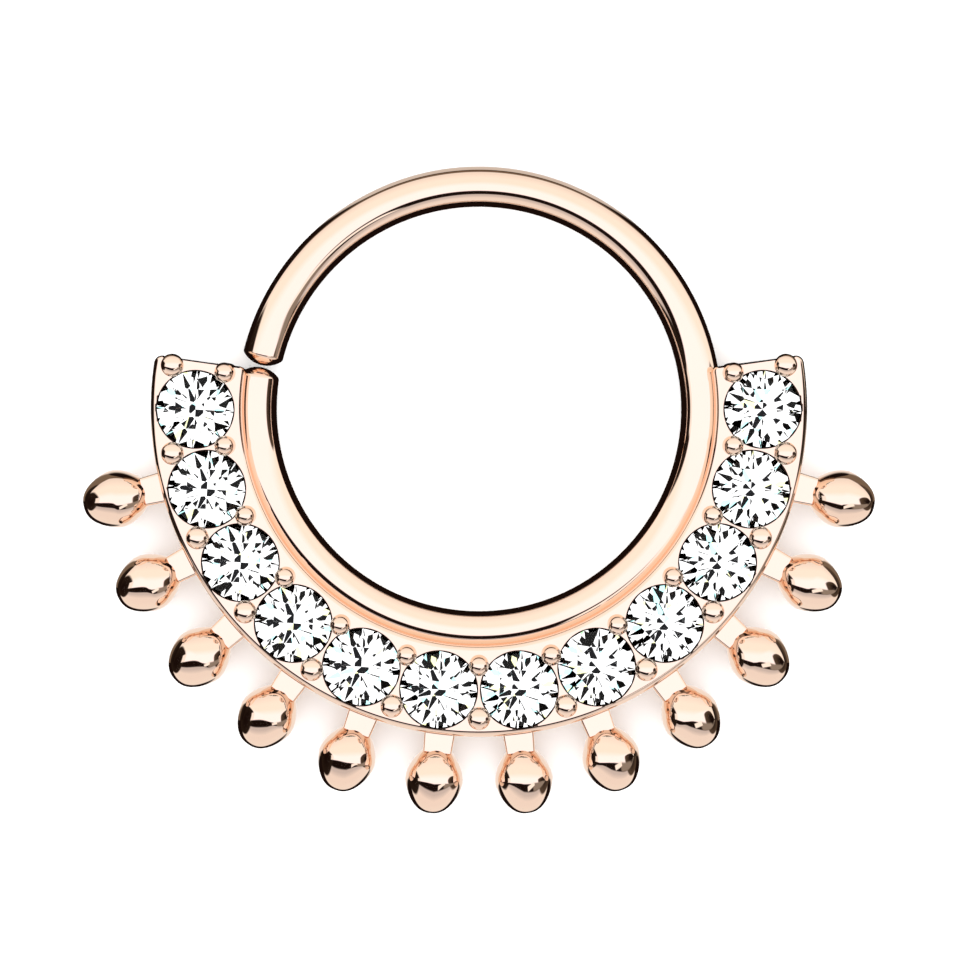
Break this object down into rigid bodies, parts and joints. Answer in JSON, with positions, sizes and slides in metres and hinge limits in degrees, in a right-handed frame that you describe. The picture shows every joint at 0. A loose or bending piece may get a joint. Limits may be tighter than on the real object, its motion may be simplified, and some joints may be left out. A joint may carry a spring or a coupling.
{
  "type": "septum ring",
  "caption": "Round wire hoop with one cut, its lower half carrying a crescent set with round brilliants between domed prongs and fringed with drops on short posts.",
  "frame": {"origin": "centre of the hoop, halfway through the wire's thickness", "axes": "+X to the ring's right seen from the front, +Y to the hoop's free top, +Z out of the stones' tables; the ring lies on its back"},
  "size_m": [0.0196, 0.016, 0.0017],
  "materials": {
    "rose_gold": "mirror-polished rose gold plating",
    "stone": "clear, faceted and polished"
  },
  "bodies": {
    "root": {"metal_ring": "rose_gold", "stone_01": "stone", "stone_02": "stone", "stone_03": "stone", "stone_04": "stone", "stone_05": "stone", "stone_06": "stone", "stone_07": "stone", "stone_08": "stone", "stone_09": "stone", "stone_10": "stone", "stone_11": "stone", "stone_12": "stone"}
  },
  "joints": []
}
